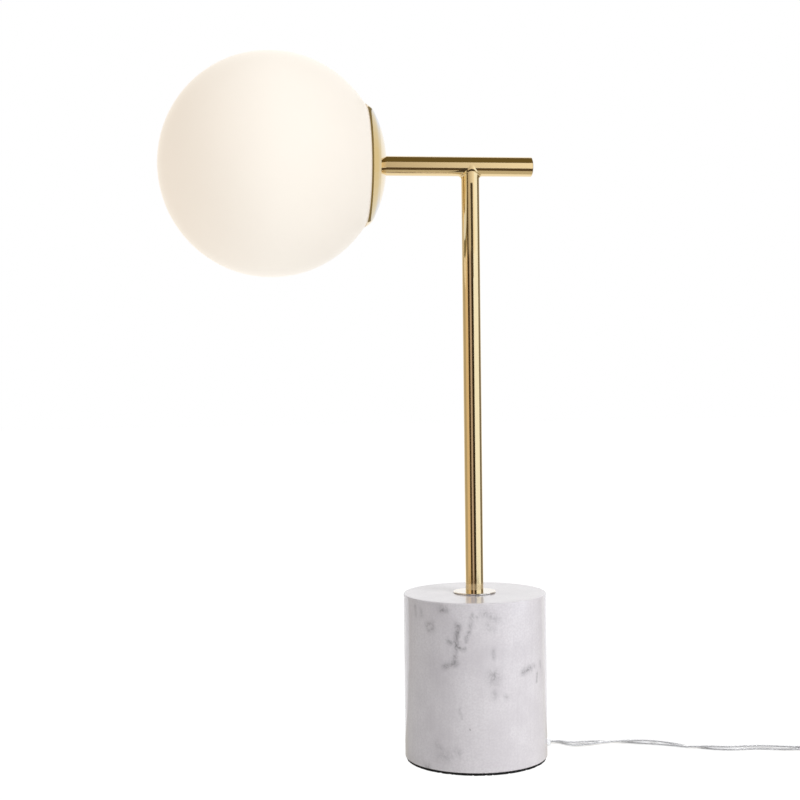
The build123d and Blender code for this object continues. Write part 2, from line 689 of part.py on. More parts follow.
def make_switch():
    length = (switch_left, switch_right)
    width = about(switch_line, switch_width)
    split = switch_lower_height
    lower = block(length, width, (0, split))
    lower = fillet(lower.edges().filter_by(Axis.Z), switch_corner)
    lower = fillet(lower.edges().group_by(Axis.Z)[0], switch_bottom_round)
    lower -= switch_room(switch_wall, split + past)
    upper = block(length, width, (split, switch_top))
    upper = fillet(upper.edges().filter_by(Axis.Z), switch_corner)
    upper = fillet(upper.edges().group_by(Axis.Z)[-1], switch_top_round)
    upper -= switch_room(split - past, switch_top - switch_wall)

    # The window is long enough for the rocker's upper corners as they swing.
    half = rocker_length / 2
    end_top = rocker_top - half * math.tan(math.radians(rocker_tilt))
    corner_angle = math.atan2(end_top, half) - math.radians(rocker_tilt)
    window_length = 2 * (math.hypot(half, end_top) * math.cos(corner_angle) + rocker_gap)
    window_width = rocker_width + 2 * rocker_gap
    window = block(
        about(pin_place, window_length), about(switch_line, window_width), (split - past, switch_top + past)
    )
    posts = block(
        about(pin_place, rocker_post_width),
        about(switch_line, switch_width - 2 * switch_wall),
        (split, switch_top - switch_wall),
    )
    upper = upper + posts - window
    pin_line = Pos(pin_place, switch_line, rocker_pin_height) * Rot(90, 0, 0)
    pin = pin_line * Cylinder(rocker_pin_diameter / 2, window_width + 2 * rocker_pin_bite)
    upper -= pin
    pieces["switch_pin"] = pin

    screws = []
    for side in (-1, 1):
        x = pin_place + side * (switch_length / 2 - switch_screw_inset_x)
        y = switch_line + side * (switch_width / 2 - switch_screw_inset_y)
        boss = switch_screw_diameter / 2 + switch_boss_wall
        head_top = switch_screw_recess + switch_screw_head_height
        screw_end = split + switch_screw_bite
        shank = rod_z(head_top, screw_end, switch_screw_diameter / 2, x, y)
        head = rod_z(switch_screw_recess, head_top, switch_screw_head / 2, x, y)
        lower += rod_z(switch_wall, split, boss, x, y)
        lower -= shank + rod_z(-past, head_top, switch_screw_head / 2 + switch_screw_room, x, y)
        upper += rod_z(split, switch_top - switch_wall, boss, x, y)
        upper -= shank
        screws.append(shank + head)
    pieces["switch_screws"] = screws
    for outside, inward in ((switch_left, 1), (switch_right, -1)):
        ends = sorted((outside - inward * past, outside + inward * (switch_end_wall + past)))
        lead_hole = rod_x(*ends, lead_radius + lead_gap, y=switch_line, z=switch_lead_height)
        lower -= lead_hole
        upper -= lead_hole
    pieces["switch_lower"] = lower
    pieces["switch_upper"] = upper

    roof = make_face(Polyline(
        (-half, end_top - rocker_skirt),
        (-half, end_top),
        (0, rocker_top),
        (half, end_top),
        (half, end_top - rocker_skirt),
        close=True,
    ))
    rocker = extrude(Plane.XZ * (roof + Circle(rocker_hub)), rocker_width / 2, both=True)
    rocker -= Rot(90, 0, 0) * Cylinder(rocker_pin_diameter / 2 + rocker_pin_fit, rocker_width + 2 * past)
    pieces["switch_rocker"] = Pos(pin_place, switch_line, rocker_pin_height) * Rot(0, rocker_tilt, 0) * rocker

    contacts = []
    for side in (-1, 1):
        near = pin_place + side * switch_contact_spread
        contacts.append(block(
            (near, near + side * switch_contact_length),
            about(switch_line, switch_contact_width),
            (switch_wall, switch_wall + switch_contact_thickness),
        ))
    pieces["switch_contacts"] = contacts


# ---- free lead, its coil and the plug ----
def coil_path():
    x, y = coil_centre
    low, high = lead_radius, lead_radius + coil_pitch
    place = Vector(x + coil_outer_radius, y, low)
    edges = [Line(place + Vector(0, coil_straight, 0), place)]
    side, radius = 1, coil_outer_radius
    for _ in range(2 * coil_turns):
        centre = place - Vector(side * radius, 0, 0)
        end = centre - Vector(side * radius, 0, 0)
        edges.append(ThreePointArc(place, centre - Vector(0, side * radius, 0), end))
        place, side, radius = end, -side, radius - coil_pitch / 2
    inner = place.X - x
    end = Vector(x - inner, y, high)
    across = end - place
    middle = (place + end) * 0.5 - Vector(0, across.length / 2, 0)
    edges.append(Edge.make_tangent_arc(place, (0, -1, 0), middle))
    edges.append(Edge.make_tangent_arc(middle, across, end))
    place, side, radius = end, -1, inner + coil_pitch / 2
    for _ in range(2 * coil_turns - 1):
        centre = place - Vector(side * radius, 0, 0)
        end = centre - Vector(side * radius, 0, 0)
        edges.append(ThreePointArc(place, centre - Vector(0, side * radius, 0), end))
        place, side, radius = end, -side, radius + coil_pitch / 2
    centre = place - Vector(radius, 0, 0)
    corner = radius * math.sqrt(0.5)
    end = centre - Vector(0, radius, 0)
    edges.append(ThreePointArc(place, centre + Vector(corner, -corner, 0), end))
    edges.append(Line(end, end - Vector(coil_straight, 0, 0)))
    return Wire([edge if isinstance(edge, Edge) else edge.edge() for edge in edges])


def least_gap(path, step=1.5, apart=40.0):
    count = int(path.length / step)
    points = [path @ (index / count) for index in range(count + 1)]
    skip = int(apart / step)
    least = min(
        (points[one] - points[two]).length
        for one in range(len(points))
        for two in range(one + skip, len(points))
    )
    return least - lead_diameter


def make_free_lead():
    exit_point = (base_radius + bushing_nose, 0, cord_hole_height)
    switch_in = (switch_left + switch_entry, switch_line, switch_lead_height)
    switch_out = (switch_right - switch_entry, switch_line, switch_lead_height)
    coil = coil_path()
    print("coil least gap", round(least_gap(coil), 2))
    pieces["cord_lead"] = lead_through("cord_lead", [exit_point, *lead_points, switch_in])
    pieces["cord_link"] = lead_through("cord_link", [switch_out, *link_points, tuple(coil @ 0)])
    pieces["cord_coil"] = lead_along("cord_coil", coil)
    plug_in = (*plug_entry, plug_height / 2)
    pieces["cord_tail"] = lead_through("cord_tail", [tuple(coil @ 1), *tail_points, plug_in])


def make_plug():
    right, y = plug_entry
    z = plug_height / 2
    shoulder = right - plug_neck_length
    left = shoulder - plug_length
    body = block((left, shoulder), about(y, plug_width), (0, plug_height))
    body = fillet(body.edges().filter_by(Axis.X), plug_edge)
    across = Plane(origin=(shoulder, y, z), x_dir=(0, 1, 0), z_dir=(1, 0, 0))
    wide = across * RectangleRounded(plug_width, plug_height, plug_edge)
    narrow = across.offset(plug_neck_length) * RectangleRounded(plug_neck_width, plug_neck_height, plug_edge)
    body += loft([wide, narrow])
    tip = left - blade_length
    blades = []
    for side in (-1, 1):
        blade_line = y + side * blade_spacing / 2
        blade = block((tip, left + blade_inside), about(blade_line, blade_thickness), about(z, blade_height))
        hole = Pos(tip + blade_hole_from_tip, blade_line, z) * Rot(90, 0, 0)
        body -= blade
        blades.append(blade - hole * Cylinder(blade_hole_diameter / 2, blade_thickness + 2 * past))
    pieces["plug_body"] = body
    pieces["plug_blades"] = blades


def write_pieces():
    os.makedirs("parts", exist_ok=True)
    for name, shape in pieces.items():
        solids = shape if isinstance(shape, list) else [shape]
        solids = [solid for item in solids for solid in item.solids()]
        export_step(solids[0] if len(solids) == 1 else Compound(solids), f"parts/{name}.step")
    print(len(pieces), "pieces")


make_base()
make_pipe_stack()
make_stem()
make_arm()
make_cap()
make_gallery()
make_holder()
make_bulb()
make_globe()
make_inner_lead()
make_switch()
make_free_lead()
make_plug()
write_pieces()
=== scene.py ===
import json
import math
import random

import bpy
from mathutils import Matrix, Vector


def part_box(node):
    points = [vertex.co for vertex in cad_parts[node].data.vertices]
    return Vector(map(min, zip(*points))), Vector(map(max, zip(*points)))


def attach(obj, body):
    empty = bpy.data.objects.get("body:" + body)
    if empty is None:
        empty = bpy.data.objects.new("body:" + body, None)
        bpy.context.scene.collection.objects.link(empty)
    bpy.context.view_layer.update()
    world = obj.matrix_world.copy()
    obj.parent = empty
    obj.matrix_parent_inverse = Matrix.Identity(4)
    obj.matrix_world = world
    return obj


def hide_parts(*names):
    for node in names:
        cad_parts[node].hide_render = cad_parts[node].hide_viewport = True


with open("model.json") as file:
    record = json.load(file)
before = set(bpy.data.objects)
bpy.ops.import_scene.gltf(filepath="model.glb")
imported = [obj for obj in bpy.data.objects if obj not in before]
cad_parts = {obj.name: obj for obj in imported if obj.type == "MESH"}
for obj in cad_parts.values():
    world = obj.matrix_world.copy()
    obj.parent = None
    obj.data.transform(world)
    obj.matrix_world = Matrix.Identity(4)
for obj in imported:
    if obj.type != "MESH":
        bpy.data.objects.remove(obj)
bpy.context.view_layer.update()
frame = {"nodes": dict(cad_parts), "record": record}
mm = 0.001
parts = frame["nodes"]
armHeight = 540.0      # table to the arm's axis
drumRadius = 65.0


# ---- camera, room and light ----
cameraView = {
    "place": (-0.26174, -1.31738, 0.35729),
    "turn": 8.413,     # degrees from +Y towards +X
    "down": 1.236,
    "roll": -0.681,
    "lens": 66.13,
    "near": 0.05,
}
room = {
    "floorSize": 16.0,
    "white": 0.88,     # share of plain white in what the camera sees of the floor
    "whiteLevel": 1.12,
    "paint": 0.82,
    "fill": 0.42,      # light of the sky on dull surfaces
    "drop": 0.0001,    # how far the floor lies under the pad
}
lamps = {
    "key": {"place": (1.45, -1.6, 1.5), "size": 1.2, "watts": 34.5},
    "side": {"place": (-1.9, -0.9, 0.9), "size": 1.2, "watts": 1.0},
    "back": {"place": (0.4, 1.8, 1.5), "size": 1.4, "watts": 7.0},
}
lampAim = (0, 0, 0.3)
# Cards that only show in polished surfaces, all in metres. These stand in a ring: span is in
# degrees from the camera's side, counted to the right, and rise is from and to in height.
cards = {
    "leftFar": {"span": (-134, -82), "rise": (-1.35, 3.0), "colour": (0.50, 0.45, 0.36)},
    "leftWarm": {"span": (-82, -44), "rise": (-1.35, 2.6), "colour": (0.76, 0.63, 0.47)},
    "leftGap": {"span": (-44, -20), "rise": (-1.35, 2.6), "colour": (0.06, 0.04, 0.02)},
    "frontLeft": {"span": (-20, 0), "rise": (-1.35, 2.6), "colour": (0.56, 0.48, 0.48)},
    "frontGap": {"span": (0, 28), "rise": (-1.35, 2.6), "colour": (0.04, 0.03, 0.02)},
    "softBox": {"span": (28, 94), "rise": (-1.35, 2.6), "colour": (1.06, 1.16, 1.34)},
    "rightDark": {"span": (94, 138), "rise": (-1.35, 2.6), "colour": (0.21, 0.19, 0.15)},
    "rightPale": {"span": (138, 150), "rise": (-1.35, 3.4), "colour": (0.80, 0.76, 0.70)},
    "rightWhite": {"span": (150, 165), "rise": (-1.35, 3.4), "colour": (0.98, 1.00, 1.02)},
    "lowEdge": {"span": (-176, -134), "rise": (-1.35, -0.3), "colour": (1.15, 1.15, 1.15)},
}
cardRing = {"radius": 3.5, "step": 6.0}
# Flat cards, from radius to radius at one height: the ceiling, and rings of the table top.
flatCards = {
    "ceilingFront": {"z": 2.6, "radii": (0.001, 3.5), "span": (-105, 105), "colour": (0.15, 0.115, 0.045)},
    "ceilingBack": {"z": 2.6, "radii": (0.001, 1.6), "span": (105, 255), "colour": (0.15, 0.115, 0.045)},
    "tableNear": {"z": 0.0004, "radii": (0.064, 0.42), "span": (-132, 138), "colour": (0.58, 0.55, 0.48)},
    "tableFront": {"z": 0.0004, "radii": (0.42, 1.08), "span": (-75, 60), "colour": (0.10, 0.07, 0.04)},
    "tableRight": {"z": 0.0004, "radii": (0.42, 0.9), "span": (60, 125), "colour": (0.12, 0.09, 0.05)},
}
# Flat rings about the arm that only the cap's rounded edge sees, in degrees up from the front:
# a dark outer one, and an inner one that is golden at the arm's height and paler above and below.
capCards = {
    "x": -0.080, "span": (-105, 105), "step": 5,
    "outer": (0.061, 0.078), "dark": (0.24, 0.21, 0.13),
    "inner": (0.036, 0.061), "gold": (0.80, 0.77, 0.66), "pale": (0.84, 0.91, 1.06),
    "fade": (8, 75), "sector": 10,
}
# Upright cards close to the lamp, with a colour at each end.
closeCards = {
    "armCard": {       # in front of the arm, darker towards the globe
        "y": -0.15, "x": (-0.11, 0.13), "z": (0.474, 0.664),
        "left": (0.48, 0.42, 0.35), "right": (1.1, 1.1, 1.12),
    },
    "stemCard": {      # keeps the other card out of the middle of the stem's upper part
        "y": -0.030, "x": (-0.0045, 0.0088), "z": (0.440, 0.527),
        "left": (0.07, 0.055, 0.04), "right": (0.07, 0.055, 0.04),
    },
}


def addCamera(view):
    turn, down, roll = (math.radians(view[key]) for key in ("turn", "down", "roll"))
    ahead = Vector((math.sin(turn) * math.cos(down), math.cos(turn) * math.cos(down), -math.sin(down)))
    level = Vector((math.cos(turn), -math.sin(turn), 0))
    rise = level.cross(ahead)
    right = level * math.cos(roll) + rise * math.sin(roll)
    up = rise * math.cos(roll) - level * math.sin(roll)
    camera = bpy.data.objects.new("camera", bpy.data.cameras.new("camera"))
    camera.data.lens = view["lens"]
    camera.data.clip_start = view["near"]
    axes = Matrix((right, up, -ahead)).transposed().to_4x4()
    camera.matrix_world = Matrix.Translation(view["place"]) @ axes
    bpy.context.scene.collection.objects.link(camera)
    bpy.context.scene.camera = camera


def addNode(tree, kind, inputs=(), **settings):
    node = tree.nodes.new(kind)
    for key, value in settings.items():
        setattr(node, key, value)
    for key, value in dict(inputs).items():
        if isinstance(value, bpy.types.NodeSocket):
            tree.links.new(value, node.inputs[key])
        else:
            node.inputs[key].default_value = value
    return node


def blended(tree, share, one, two):
    node = addNode(tree, "ShaderNodeMix", {"Factor": share}, data_type="RGBA")
    for socket, colour in ((node.inputs[6], one), (node.inputs[7], two)):
        if isinstance(colour, bpy.types.NodeSocket):
            tree.links.new(colour, socket)
        else:
            socket.default_value = (*colour, 1)
    return node.outputs[2]


def reckoned(tree, operation, *values, **settings):
    # What a math node makes of these values.
    node = addNode(tree, "ShaderNodeMath", dict(enumerate(values)), operation=operation, **settings)
    return node.outputs[0]


def addObject(name, data):
    thing = bpy.data.objects.new(name, data)
    bpy.context.scene.collection.objects.link(thing)
    return thing


def emptyPaint(name):
    paint = bpy.data.materials.new(name)
    paint.use_nodes = True
    paint.node_tree.nodes.clear()
    return paint


def whiteShare(tree, share):
    # Rays that should find plain white: the camera's, and those in metal and glass.
    path = addNode(tree, "ShaderNodeLightPath").outputs
    mirror = reckoned(tree, "MAXIMUM", path["Is Glossy Ray"], path["Is Transmission Ray"])
    seen = reckoned(tree, "MAXIMUM", path["Is Camera Ray"], mirror)
    return reckoned(tree, "MULTIPLY", seen, share)


def addSky():
    world = bpy.data.worlds.new("room")
    bpy.context.scene.world = world
    world.use_nodes = True
    tree = world.node_tree
    tree.nodes.clear()
    fill = addNode(tree, "ShaderNodeBackground", {"Color": (1, 1, 1, 1), "Strength": room["fill"]})
    white = addNode(tree, "ShaderNodeBackground", {"Color": (1, 1, 1, 1), "Strength": 1.0})
    shades = {0: whiteShare(tree, 1.0), 1: fill.outputs[0], 2: white.outputs[0]}
    mixed = addNode(tree, "ShaderNodeMixShader", shades)
    addNode(tree, "ShaderNodeOutputWorld", {"Surface": mixed.outputs[0]})


def addFloor():
    half = room["floorSize"] / 2
    corners = [(-half, -half, 0), (half, -half, 0), (half, half, 0), (-half, half, 0)]
    mesh = bpy.data.meshes.new("floor")
    mesh.from_pydata(corners, [], [(0, 1, 2, 3)])
    floor = addObject("floor", mesh)
    floor.location.z = -room["drop"]
    paint = emptyPaint("floorPaint")
    tree = paint.node_tree
    matt = addNode(tree, "ShaderNodeBsdfDiffuse", {"Color": (room["paint"],) * 3 + (1,)})
    white = addNode(tree, "ShaderNodeEmission", {"Strength": room["whiteLevel"]})
    shades = {0: whiteShare(tree, room["white"]), 1: matt.outputs[0], 2: white.outputs[0]}
    mixed = addNode(tree, "ShaderNodeMixShader", shades)
    addNode(tree, "ShaderNodeOutputMaterial", {"Surface": mixed.outputs[0]})
    mesh.materials.append(paint)
    floor.visible_glossy = False


def addLamps():
    for name, lamp in lamps.items():
        data = bpy.data.lights.new(name, "AREA")
        data.shape = "SQUARE"
        data.size = lamp["size"]
        data.energy = lamp["watts"]
        light = addObject(name, data)
        light.location = lamp["place"]
        ahead = Vector(lampAim) - light.location
        light.rotation_euler = ahead.to_track_quat("-Z", "Y").to_euler()
        light.visible_glossy = False


def cardPaint(name, colour, second=None):
    paint = emptyPaint(name + "Paint")
    tree = paint.node_tree
    glow = addNode(tree, "ShaderNodeEmission", {"Color": (*colour, 1), "Strength": 1.0})
    if second:
        place = addNode(tree, "ShaderNodeTexCoord").outputs["Generated"]
        share = addNode(tree, "ShaderNodeSeparateXYZ", {0: place}).outputs["X"]
        tree.links.new(blended(tree, share, colour, second), glow.inputs["Color"])
    addNode(tree, "ShaderNodeOutputMaterial", {"Surface": glow.outputs[0]})
    return paint


def onlyInReflections(card):
    card.visible_camera = False
    card.visible_diffuse = False
    card.visible_transmission = False
    card.visible_shadow = False


def addCard(name, lines, *colours):
    # A card between two lines of equally many points.
    points = [point for pair in zip(*lines) for point in pair]
    faces = [(i, i + 1, i + 3, i + 2) for i in range(0, len(points) - 2, 2)]
    mesh = bpy.data.meshes.new(name)
    mesh.from_pydata(points, [], faces)
    mesh.materials.append(cardPaint(name, *colours))
    onlyInReflections(addObject(name, mesh))


def cardArc(span, radius, height):
    front = math.degrees(math.atan2(cameraView["place"][0], -cameraView["place"][1]))
    start, end = span
    steps = max(1, round((end - start) / cardRing["step"]))
    angles = [math.radians(front + start + (end - start) * index / steps) for index in range(steps + 1)]
    return [(radius * math.sin(angle), -radius * math.cos(angle), height) for angle in angles]


def addCapCard(name, radii, span, colour):
    start, end = span
    height = armHeight * mm
    angles = [math.radians(angle) for angle in range(start, end + 1, capCards["step"])]
    lines = [
        [(capCards["x"], -radius * math.cos(angle), height + radius * math.sin(angle)) for angle in angles]
        for radius in radii
    ]
    addCard(name, lines, colour)


def addCapCards():
    addCapCard("capDark", capCards["outer"], capCards["span"], capCards["dark"])
    near, far = capCards["fade"]
    sector = capCards["sector"]
    for low in range(*capCards["span"], sector):
        share = min(1.0, max(0.0, (abs(low + sector / 2) - near) / (far - near)))
        colour = [gold + (pale - gold) * share for gold, pale in zip(capCards["gold"], capCards["pale"])]
        addCapCard("capRing" + str(low), capCards["inner"], (low, low + sector), colour)


def addCards():
    for name, card in cards.items():
        lines = [cardArc(card["span"], cardRing["radius"], height) for height in card["rise"]]
        addCard(name, lines, card["colour"])
    for name, card in flatCards.items():
        lines = [cardArc(card["span"], radius, card["z"]) for radius in card["radii"]]
        addCard(name, lines, card["colour"])
    addCapCards()
    for name, card in closeCards.items():
        lines = [[(x, card["y"], z) for x in card["x"]] for z in card["z"]]
        addCard(name, lines, card["left"], card["right"])


addCamera(cameraView)
addSky()
addFloor()
addLamps()
addCards()
bpy.context.scene.view_settings.view_transform = "Standard"
print("camera, room and lamps are up")


# ---- finishes ----
# rough is the lowest and highest roughness, grain the size of its spots in mm, tone how much
# the colour wanders, relief the depth of the grain in mm, metal and coat how much there is of each.
# Pale brass is for the foot plate and tinned wire for the cores in the clear lead.
finishes = {
    "foam_pad": {
        "colour": (0.008, 0.008, 0.009), "rough": (0.85, 0.97), "grain": 0.5, "tone": 0.3, "relief": 0.08,
    },
    "zinc_steel": {
        "colour": (0.6, 0.6, 0.58), "metal": 1,
        "rough": (0.22, 0.38), "grain": 1.5, "tone": 0.1, "relief": 0.004,
    },
    "threaded_steel": {
        "colour": (0.55, 0.55, 0.53), "metal": 1,
        "rough": (0.28, 0.42), "grain": 0.8, "tone": 0.12, "relief": 0.01,
    },
    "brass": {
        "colour": (0.87, 0.67, 0.355), "metal": 1, "coat": 0.6,
        "rough": (0.08, 0.11), "grain": 6.0, "tone": 0.03, "relief": 0.0004,
    },
    "pale_brass": {
        "colour": (0.93, 0.87, 0.78), "metal": 1,
        "rough": (0.12, 0.16), "grain": 6.0, "tone": 0.03, "relief": 0.0004,
    },
    "raw_brass": {
        "colour": (0.72, 0.53, 0.27), "metal": 1,
        "rough": (0.26, 0.36), "grain": 1.2, "tone": 0.1, "relief": 0.004,
    },
    "gasket": {
        "colour": (0.03, 0.03, 0.03), "rough": (0.6, 0.8), "grain": 0.8, "tone": 0.2, "relief": 0.02,
    },
    "white_gasket": {
        "colour": (0.8, 0.78, 0.73), "rough": (0.45, 0.6), "grain": 1.0, "tone": 0.05, "relief": 0.01,
    },
    "spring_steel": {
        "colour": (0.66, 0.66, 0.66), "metal": 1,
        "rough": (0.18, 0.28), "grain": 1.0, "tone": 0.06, "relief": 0.003,
    },
    "white_enamel": {
        "colour": (0.86, 0.85, 0.81), "rough": (0.16, 0.24), "grain": 3.0, "tone": 0.03, "relief": 0.01,
    },
    "porcelain": {
        "colour": (0.87, 0.85, 0.8), "rough": (0.08, 0.16), "grain": 4.0, "tone": 0.04, "relief": 0.02,
    },
    "bulb_glass": {
        "colour": (0.93, 0.91, 0.86), "rough": (0.35, 0.45), "grain": 3.0, "tone": 0.02, "relief": 0.01,
    },
    "bulb_metal": {
        "colour": (0.7, 0.69, 0.66), "metal": 1,
        "rough": (0.2, 0.3), "grain": 1.0, "tone": 0.06, "relief": 0.004,
    },
    "black_insulator": {
        "colour": (0.02, 0.02, 0.03), "rough": (0.08, 0.16), "grain": 1.5, "tone": 0.2, "relief": 0.01,
    },
    "board": {
        "colour": (0.82, 0.83, 0.82), "rough": (0.4, 0.5), "grain": 1.0, "tone": 0.05, "relief": 0.004,
    },
    "copper": {
        "colour": (0.78, 0.4, 0.26), "metal": 1,
        "rough": (0.25, 0.4), "grain": 0.8, "tone": 0.15, "relief": 0.004,
    },
    "tinned_wire": {
        "colour": (0.41, 0.41, 0.42), "metal": 0.2,
        "rough": (0.4, 0.5), "grain": 0.5, "tone": 0.05, "relief": 0.004,
    },
    "switch_shell": {
        "colour": (0.8, 0.81, 0.8), "rough": (0.22, 0.34), "grain": 1.2, "tone": 0.02, "relief": 0.012,
    },
    "switch_button": {
        "colour": (0.84, 0.84, 0.82), "rough": (0.2, 0.3), "grain": 1.0, "tone": 0.02, "relief": 0.006,
    },
    "plug_shell": {
        "colour": (0.78, 0.79, 0.79), "rough": (0.25, 0.36), "grain": 1.2, "tone": 0.02, "relief": 0.014,
    },
    "plug_metal": {
        "colour": (0.76, 0.62, 0.36), "metal": 1,
        "rough": (0.22, 0.34), "grain": 1.0, "tone": 0.08, "relief": 0.004,
    },
}
patchGrains = 12       # grains across one patch of colour
coatRough = 0.06
made = {}


def startFinish(slot):
    material = bpy.data.materials.new(slot)
    material.use_nodes = True
    made[slot] = material
    tree = material.node_tree
    shader = tree.nodes["Principled BSDF"]
    place = addNode(tree, "ShaderNodeTexCoord").outputs["Object"]
    return tree, shader, place


def noiseOf(tree, place, size, detail, twist=0.0):
    # Noise of spots of that many millimetres.
    inputs = {"Vector": place, "Scale": 1 / (size * mm), "Detail": detail, "Distortion": twist}
    return addNode(tree, "ShaderNodeTexNoise", inputs).outputs


def grainOf(tree, place, size, detail=4.0):
    return noiseOf(tree, place, size, detail)["Fac"]


def ranged(tree, value, low, high, fromLow=0.3, fromHigh=0.7, curve="LINEAR"):
    return addNode(
        tree, "ShaderNodeMapRange",
        {"Value": value, "From Min": fromLow, "From Max": fromHigh, "To Min": low, "To Max": high},
        interpolation_type=curve,
    ).outputs["Result"]


def relieved(tree, shader, height, depth):
    bump = addNode(tree, "ShaderNodeBump", {"Height": height, "Distance": depth * mm, "Strength": 1.0})
    tree.links.new(bump.outputs["Normal"], shader.inputs["Normal"])


def blurred(tree, shader, grain, rough):
    # Roughness that follows the grain from the lowest to the highest value.
    tree.links.new(ranged(tree, grain, *rough), shader.inputs["Roughness"])


def makeFinish(slot, look):
    tree, shader, place = startFinish(slot)
    grain = grainOf(tree, place, look["grain"])
    blurred(tree, shader, grain, look["rough"])
    dark = [channel * (1 - look["tone"]) for channel in look["colour"]]
    patches = ranged(tree, grainOf(tree, place, look["grain"] * patchGrains, 2.0), 0, 1)
    tree.links.new(blended(tree, patches, look["colour"], dark), shader.inputs["Base Color"])
    relieved(tree, shader, grain, look["relief"])
    shader.inputs["Metallic"].default_value = look.get("metal", 0)
    shader.inputs["Coat Weight"].default_value = look.get("coat", 0)
    shader.inputs["Coat Roughness"].default_value = coatRough


clearPlastic = {
    "colour": (0.97, 0.975, 0.98), "rough": (0.04, 0.12), "grain": 1.5, "index": 1.45, "gloss": 0.5,
}
clearJacket = {
    "colour": (0.95, 0.95, 0.96), "rough": (0.03, 0.09), "grain": 1.5, "index": 1.16, "gloss": 0.12,
}


def makeClear(slot, look):
    tree, shader, place = startFinish(slot)
    blurred(tree, shader, grainOf(tree, place, look["grain"]), look["rough"])
    shader.inputs["Base Color"].default_value = (*look["colour"], 1)
    shader.inputs["Transmission Weight"].default_value = 1.0
    shader.inputs["IOR"].default_value = look["index"]
    shader.inputs["Specular IOR Level"].default_value = look["gloss"]


opal = {
    "colour": (0.38, 0.355, 0.33),
    "tone": 0.015,
    "patch": 30.0,
    "rough": (0.30, 0.34),
    "grain": 14.0,
    "gloss": 0.02,
    "ripple": 40.0,
    "relief": 0.01,
    "strength": 0.69,
    "glow": (1.0, 0.935, 0.835),
    # The light fades along X, to a warmer glow at the far end and towards the cap at the near one.
    "far": (-285.0, -170.0),
    "farShare": 0.95,
    "farGlow": (1.0, 0.875, 0.725),
    "near": (-190.0, -85.0),
    "nearShare": 0.80,
}


def makeOpal(look):
    tree, shader, place = startFinish("opal_glass")
    dark = [channel * (1 - look["tone"]) for channel in look["colour"]]
    patches = ranged(tree, grainOf(tree, place, look["patch"], 2.0), 0, 1)
    tree.links.new(blended(tree, patches, look["colour"], dark), shader.inputs["Base Color"])
    blurred(tree, shader, grainOf(tree, place, look["grain"], 2.0), look["rough"])
    shader.inputs["Specular IOR Level"].default_value = look["gloss"]
    along = addNode(tree, "ShaderNodeSeparateXYZ", {0: place}).outputs["X"]
    far, near = ([value * mm for value in look[side]] for side in ("far", "near"))
    full = look["strength"]
    farLight = ranged(tree, along, full * look["farShare"], full, *far, "SMOOTHSTEP")
    nearShare = ranged(tree, along, 1, look["nearShare"], *near, "SMOOTHSTEP")
    tree.links.new(reckoned(tree, "MULTIPLY", farLight, nearShare), shader.inputs["Emission Strength"])
    tint = ranged(tree, along, 0, 1, *far, "SMOOTHSTEP")
    tree.links.new(blended(tree, tint, look["farGlow"], look["glow"]), shader.inputs["Emission Color"])
    relieved(tree, shader, grainOf(tree, place, look["ripple"], 1.0), look["relief"])


marble = {
    "colour": (0.88, 0.85, 0.885),
    "haze": (0.72, 0.685, 0.725),
    "vein": (0.17, 0.16, 0.18),
    "warps": ((9.0, 5.0), (1.6, 1.5)),           # size of each bend in the veins and its reach, mm
    "feather": 3.6,                              # a vein fades out over so many half widths
    "fall": 2.4,                                 # power of that fade
    "crackSize": 4.5,
    "crackTwist": 0.6,
    "crackWidth": 0.11,
    "cracks": (1.42, 0.68),                      # how dark a vein is in its cracks and beside them
    # How much haze there is in clouds, in grit and in upright streaks, and their sizes in mm.
    "clouds": {"size": 26.0, "detail": 5.0, "haze": 0.75, "from": 0.42, "to": 0.78},
    "grit": {"size": 1.8, "detail": 4.0, "haze": 0.50, "from": 0.36, "to": 0.64},
    "streaks": {"size": 3.0, "detail": 3.0, "haze": 0.30, "from": 0.45, "to": 0.75},
    "upright": (1.0, 1.0, 0.07),                 # what draws the streaks out along Z
    "rough": (0.28, 0.42),
    "roughSize": 3.0,
    "coat": 0.70,
    "coatRough": 0.09,
    "grain": 2.0,
    "relief": 0.004,
}
